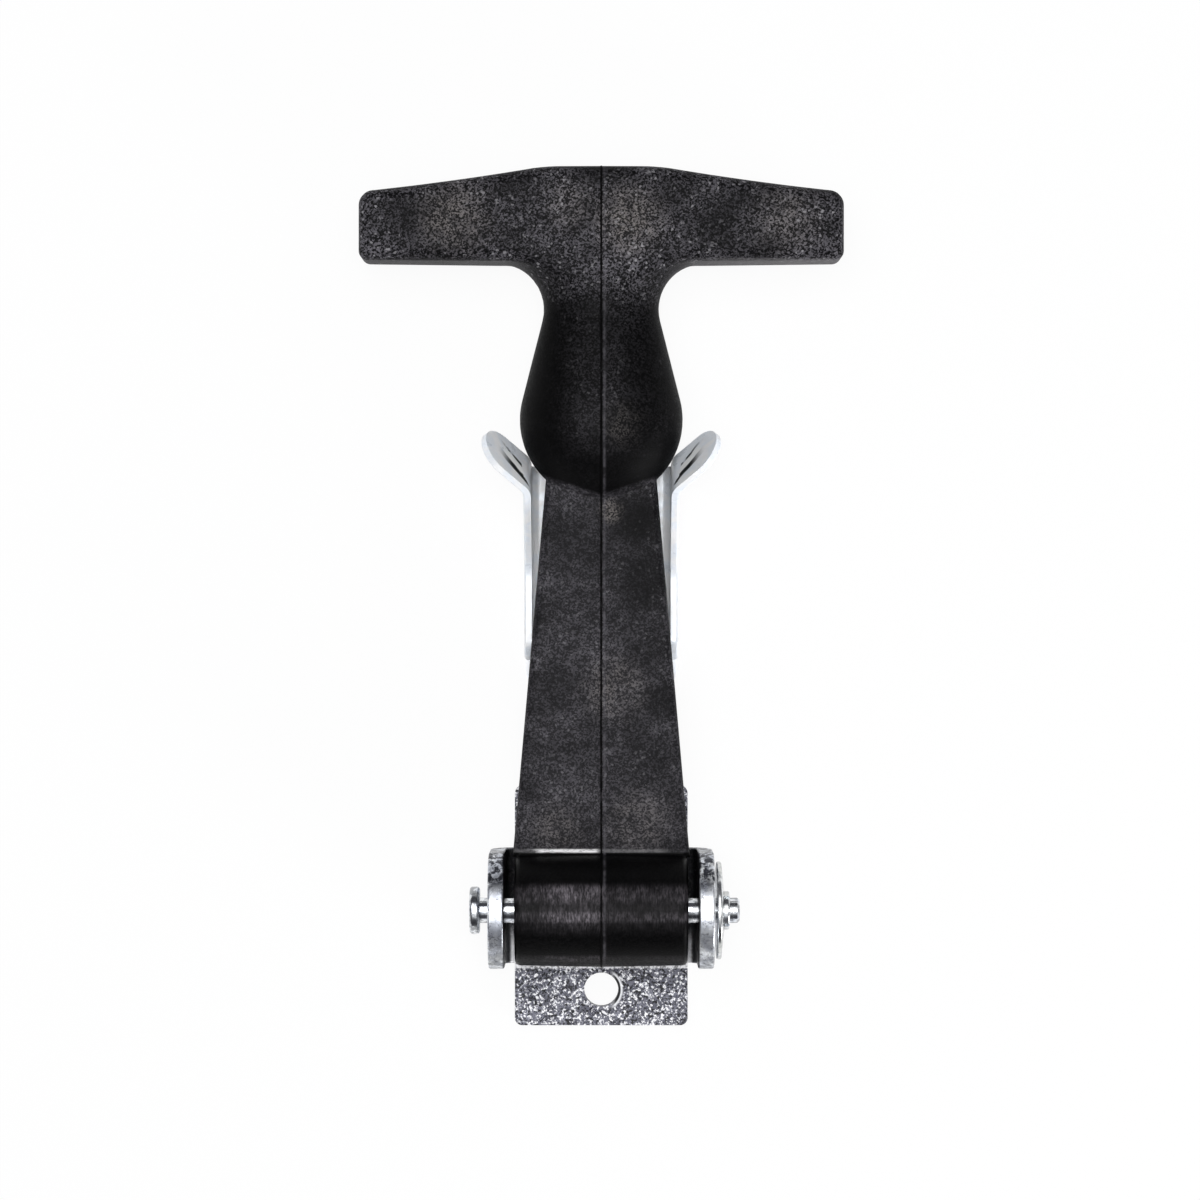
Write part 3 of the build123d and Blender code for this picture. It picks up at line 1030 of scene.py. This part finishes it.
@dataclass
class Handle:
    """The moulded T handle and the flash along its mould split."""

    node: str = "t_handle"
    finish: RubberFinish = RubberFinish()
    flash_radius: float = 0.16 * MM
    flash_step: float = 0.5 * MM
    flash_ripple: float = 0.05 * MM
    flash_wave: float = 3.0 * MM
    flash_sides: int = 8
    weld: float = 0.002 * MM
    pin_axis: tuple[float, float] = (0.0, 12.0 * MM)
    bore_reach: float = 3.0 * MM

    def build(self) -> None:
        """Dress the moulding and lay the flash on it."""
        rubber = self.finish.material()
        piece = dress(self.node, rubber)
        self.flash(rubber)

    def split_line(self) -> bpy.types.Object:
        """Cut the handle's surface at the mould split.

        Returns:
            A mesh object of bare edges, the outline of the handle in its middle plane. The pin's
            bore is left out, because the pin fills it.
        """
        bm = bmesh.new()
        bm.from_mesh(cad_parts[self.node].data)
        bmesh.ops.remove_doubles(bm, verts=bm.verts, dist=self.weld)
        cut = bmesh.ops.bisect_plane(
            bm, geom=[*bm.verts, *bm.edges, *bm.faces], plane_co=(0, 0, 0), plane_no=(1, 0, 0),
            dist=self.weld,
        )
        kept = {part for part in cut["geom_cut"] if isinstance(part, bmesh.types.BMEdge)}
        spare = [edge for edge in bm.edges if edge not in kept]
        bmesh.ops.delete(bm, geom=spare, context="EDGES_FACES")
        loose = [vert for vert in bm.verts if not vert.link_edges]
        bmesh.ops.delete(bm, geom=loose, context="VERTS")
        y, z = self.pin_axis
        bore = [vert for vert in bm.verts if hypot(vert.co.y - y, vert.co.z - z) < self.bore_reach]
        bmesh.ops.delete(bm, geom=bore, context="VERTS")
        mesh = bpy.data.meshes.new("mould_split")
        bm.to_mesh(mesh)
        bm.free()
        line = bpy.data.objects.new("mould_split", mesh)
        bpy.context.scene.collection.objects.link(line)
        return line

    def flash_tree(self, rubber: bpy.types.Material) -> bpy.types.GeometryNodeTree:
        """Build the node tree that sweeps a rippled bead along the mould split.

        Args:
            rubber: finish of the bead.

        Returns:
            The tree, with its radius, step and ripple as named inputs.
        """
        tree = bpy.data.node_groups.new("mould_flash", "GeometryNodeTree")
        sockets = tree.interface
        sockets.new_socket("Geometry", in_out="INPUT", socket_type="NodeSocketGeometry")
        for name in ("Radius", "Step", "Ripple"):
            sockets.new_socket(name, in_out="INPUT", socket_type="NodeSocketFloat")
        sockets.new_socket("Geometry", in_out="OUTPUT", socket_type="NodeSocketGeometry")
        add, link = tree.nodes.new, tree.links.new
        given, result = add("NodeGroupInput"), add("NodeGroupOutput")

        to_curve, even = add("GeometryNodeMeshToCurve"), add("GeometryNodeResampleCurve")
        even.mode = "LENGTH"
        link(given.outputs["Geometry"], to_curve.inputs["Mesh"])
        link(to_curve.outputs["Curve"], even.inputs["Curve"])
        link(given.outputs["Step"], even.inputs["Length"])

        wobble, move = add("ShaderNodeTexNoise"), add("GeometryNodeSetPosition")
        centred, sized = add("ShaderNodeVectorMath"), add("ShaderNodeVectorMath")
        wobble.inputs["Scale"].default_value = 1.0 / self.flash_wave
        centred.operation, sized.operation = "SUBTRACT", "SCALE"
        centred.inputs[1].default_value = (NOISE_MIDDLE,) * 3
        link(wobble.outputs["Color"], centred.inputs[0])
        link(centred.outputs["Vector"], sized.inputs[0])
        link(given.outputs["Ripple"], sized.inputs["Scale"])
        link(sized.outputs["Vector"], move.inputs["Offset"])
        link(even.outputs["Curve"], move.inputs["Geometry"])

        profile, sweep = add("GeometryNodeCurvePrimitiveCircle"), add("GeometryNodeCurveToMesh")
        profile.inputs["Resolution"].default_value = self.flash_sides
        link(given.outputs["Radius"], profile.inputs["Radius"])
        link(move.outputs["Geometry"], sweep.inputs["Curve"])
        link(profile.outputs["Curve"], sweep.inputs["Profile Curve"])

        realize, paint = add("GeometryNodeRealizeInstances"), add("GeometryNodeSetMaterial")
        paint.inputs["Material"].default_value = rubber
        link(sweep.outputs["Mesh"], realize.inputs["Geometry"])
        link(realize.outputs["Geometry"], paint.inputs["Geometry"])
        link(paint.outputs["Geometry"], result.inputs["Geometry"])
        return tree

    def flash(self, rubber: bpy.types.Material) -> None:
        """Lay the flash bead on the handle, as a plain mesh that rides on it.

        Args:
            rubber: finish of the bead.
        """
        line = self.split_line()
        modifier = line.modifiers.new("flash", "NODES")
        modifier.node_group = self.flash_tree(rubber)
        sizes = {"Radius": self.flash_radius, "Step": self.flash_step, "Ripple": self.flash_ripple}
        for item in modifier.node_group.interface.items_tree:
            if item.in_out == "INPUT" and item.name in sizes:
                modifier[item.identifier] = sizes[item.name]
        graph = bpy.context.evaluated_depsgraph_get()
        mesh = bpy.data.meshes.new_from_object(line.evaluated_get(graph))
        bpy.data.objects.remove(line)
        low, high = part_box(self.node)
        for vertex in mesh.vertices:
            vertex.co = Vector(min(max(v, a), b) for v, a, b in zip(vertex.co, low, high))
        mesh.shade_smooth()
        bead = bpy.data.objects.new("mould_flash", mesh)
        bpy.context.scene.collection.objects.link(bead)
        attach(bead, Body.HANDLE)
        log.info("mould_flash: %d faces", len(mesh.polygons))


@dataclass
class Bracket:
    """The folded pivot bracket."""

    node: str = "pivot_bracket"
    finish: BracketZinc = BracketZinc("spangled_zinc", roughness=0.30, tarnish=0.30)

    def build(self) -> None:
        """Dress the bracket."""
        dress(self.node, self.finish.material())


@dataclass
class PivotHardware:
    """The headed pin and the push nut that holds it."""

    pin_finish: ZincFinish = ZincFinish(
        "turned_pin_zinc", roughness=0.10, tarnish=0.60, metallic=1.0,
    )
    nut_finish: ZincFinish = ZincFinish(
        "spring_nut_zinc", cool=(0.66, 0.67, 0.66), roughness=0.16, tarnish=0.30, metallic=1.0,
    )

    def build(self) -> None:
        """Dress both pieces."""
        dress("pivot_pin", self.pin_finish.material())
        dress("push_nut", self.nut_finish.material())


@dataclass
class Keeper:
    """The folded keeper with its flared hooks."""

    node: str = "keeper"
    finish: KeeperZinc = KeeperZinc(
        "bright_zinc", cool=(0.88, 0.93, 0.99), warm=(0.97, 0.98, 0.99), metallic=0.08,
        roughness=0.32, tarnish=0.03, ripple=0.10 * MM,
    )

    def build(self) -> None:
        """Dress the keeper."""
        dress(self.node, self.finish.material())


@dataclass(frozen=True)
class Softbox:
    """One soft white lamp: its place and width in metres, and its power in watts."""

    name: str
    place: Vector
    size: float
    power: float

    def build(self, target: Vector) -> None:
        """Hang the lamp.

        Args:
            target: point that it faces.
        """
        data = bpy.data.lights.new(self.name, "AREA")
        data.shape = "SQUARE"
        data.size = self.size
        data.energy = self.power
        lamp = bpy.data.objects.new(self.name, data)
        lamp.location = self.place
        lamp.rotation_euler = (target - self.place).to_track_quat("-Z", "Y").to_euler()
        bpy.context.scene.collection.objects.link(lamp)


@dataclass
class Studio:
    """Pale floor, a soft surround with dark flags, three lamps and the camera above the latch.

    The sky's bands are heights on a sphere of radius 1, from the horizon at 0 to straight up at 1.
    """

    camera_place: Vector = field(default_factory=lambda: Vector((-0.20 * MM, 49.0 * MM, 612 * MM)))
    lens: float = 114.0
    near_clip: float = 0.01
    floor_size: float = 6.0
    floor_gap: float = 0.02 * MM
    floor_colour: Colour = (0.94, 0.94, 0.94)
    floor_glow: float = 0.92
    low_wall: Colour = (0.97, 0.97, 0.97)
    wall_top: float = 0.16
    flags: Colour = (0.07, 0.07, 0.08)
    flag_span: tuple[float, float] = (0.24, 0.72)
    overhead: Colour = (0.80, 0.81, 0.83)
    overhead_start: float = 0.95
    lamps: tuple[Softbox, ...] = (
        Softbox("key", Vector((-0.12, 0.20, 0.95)), 0.70, 4.3),
        Softbox("top", Vector((0.00, 0.06, 0.90)), 0.24, 1.75),
        Softbox("low", Vector((0.52, -0.38, 0.17)), 0.26, 2.2),
    )

    def build(self) -> None:
        """Set up the studio."""
        self.world()
        self.floor()
        middle = sum(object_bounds(), Vector()) / 2
        for lamp in self.lamps:
            lamp.build(middle)
        self.camera()
        bpy.context.scene.view_settings.view_transform = "Standard"

    def world(self) -> None:
        """Surround the scene: a white low wall, dark flags above it and a lighter ceiling."""
        world = bpy.data.worlds.new("studio")
        world.use_nodes = True
        tree = world.node_tree
        tree.nodes.clear()
        output = tree.nodes.new("ShaderNodeOutputWorld")
        sky = tree.nodes.new("ShaderNodeBackground")
        direction = tree.nodes.new("ShaderNodeTexCoord")
        split = tree.nodes.new("ShaderNodeSeparateXYZ")
        bands = tree.nodes.new("ShaderNodeValToRGB")
        ramp = bands.color_ramp
        ramp.interpolation = "EASE"
        wall, ceiling = ramp.elements
        wall.position, wall.color = self.wall_top, rgba(self.low_wall)
        ceiling.position, ceiling.color = self.overhead_start, rgba(self.overhead)
        for height in self.flag_span:
            ramp.elements.new(height).color = rgba(self.flags)
        tree.links.new(direction.outputs["Generated"], split.inputs[0])
        tree.links.new(split.outputs["Z"], bands.inputs[0])
        tree.links.new(bands.outputs["Color"], sky.inputs["Color"])
        tree.links.new(sky.outputs[0], output.inputs["Surface"])
        bpy.context.scene.world = world

    def seen(self, tree: bpy.types.NodeTree) -> Socket:
        """Return a socket that is 1 for camera, glossy and transmission rays."""
        path = tree.nodes.new("ShaderNodeLightPath")
        share = path.outputs["Is Camera Ray"]
        for name in ("Is Glossy Ray", "Is Transmission Ray"):
            either = tree.nodes.new("ShaderNodeMath")
            either.operation = "MAXIMUM"
            tree.links.new(share, either.inputs[0])
            tree.links.new(path.outputs[name], either.inputs[1])
            share = either.outputs[0]
        return share

    def floor_paint(self) -> bpy.types.Material:
        """Build the floor's finish.

        Returns:
            White paint, brightened for the rays that show it, so that it still keeps the shadow.
        """
        material = bpy.data.materials.new("floor_white")
        material.use_nodes = True
        tree = material.node_tree
        tree.nodes.clear()
        output = tree.nodes.new("ShaderNodeOutputMaterial")
        paint = tree.nodes.new("ShaderNodeBsdfDiffuse")
        glow = tree.nodes.new("ShaderNodeEmission")
        mix = tree.nodes.new("ShaderNodeMixShader")
        share = tree.nodes.new("ShaderNodeMath")
        share.operation = "MULTIPLY"
        share.inputs[1].default_value = self.floor_glow
        paint.inputs["Color"].default_value = rgba(self.floor_colour)
        tree.links.new(self.seen(tree), share.inputs[0])
        tree.links.new(share.outputs[0], mix.inputs[0])
        tree.links.new(paint.outputs[0], mix.inputs[1])
        tree.links.new(glow.outputs[0], mix.inputs[2])
        tree.links.new(mix.outputs[0], output.inputs["Surface"])
        return material

    def floor(self) -> None:
        """Lay the pale floor just under the mounting plane."""
        half, top = self.floor_size / 2, -self.floor_gap
        corners = [(-half, -half, top), (half, -half, top), (half, half, top), (-half, half, top)]
        mesh = bpy.data.meshes.new("floor")
        mesh.from_pydata(corners, [], [(0, 1, 2, 3)])
        mesh.materials.append(self.floor_paint())
        floor = bpy.data.objects.new("floor", mesh)
        bpy.context.scene.collection.objects.link(floor)
        floor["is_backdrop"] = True

    def camera(self) -> None:
        """Hang the camera over the latch, looking straight down."""
        data = bpy.data.cameras.new("camera")
        data.lens = self.lens
        data.clip_start = self.near_clip
        camera = bpy.data.objects.new("camera", data)
        camera.location = self.camera_place
        bpy.context.scene.collection.objects.link(camera)
        bpy.context.scene.camera = camera


def main() -> None:
    """Dress the latch part by part and set up the studio."""
    logging.basicConfig(level=logging.INFO, format="%(name)s: %(message)s")
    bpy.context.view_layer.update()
    for assembly in (Bracket(), PivotHardware(), Handle(), Keeper()):
        assembly.build()
    Studio().build()


if __name__ == "__main__":
    main()
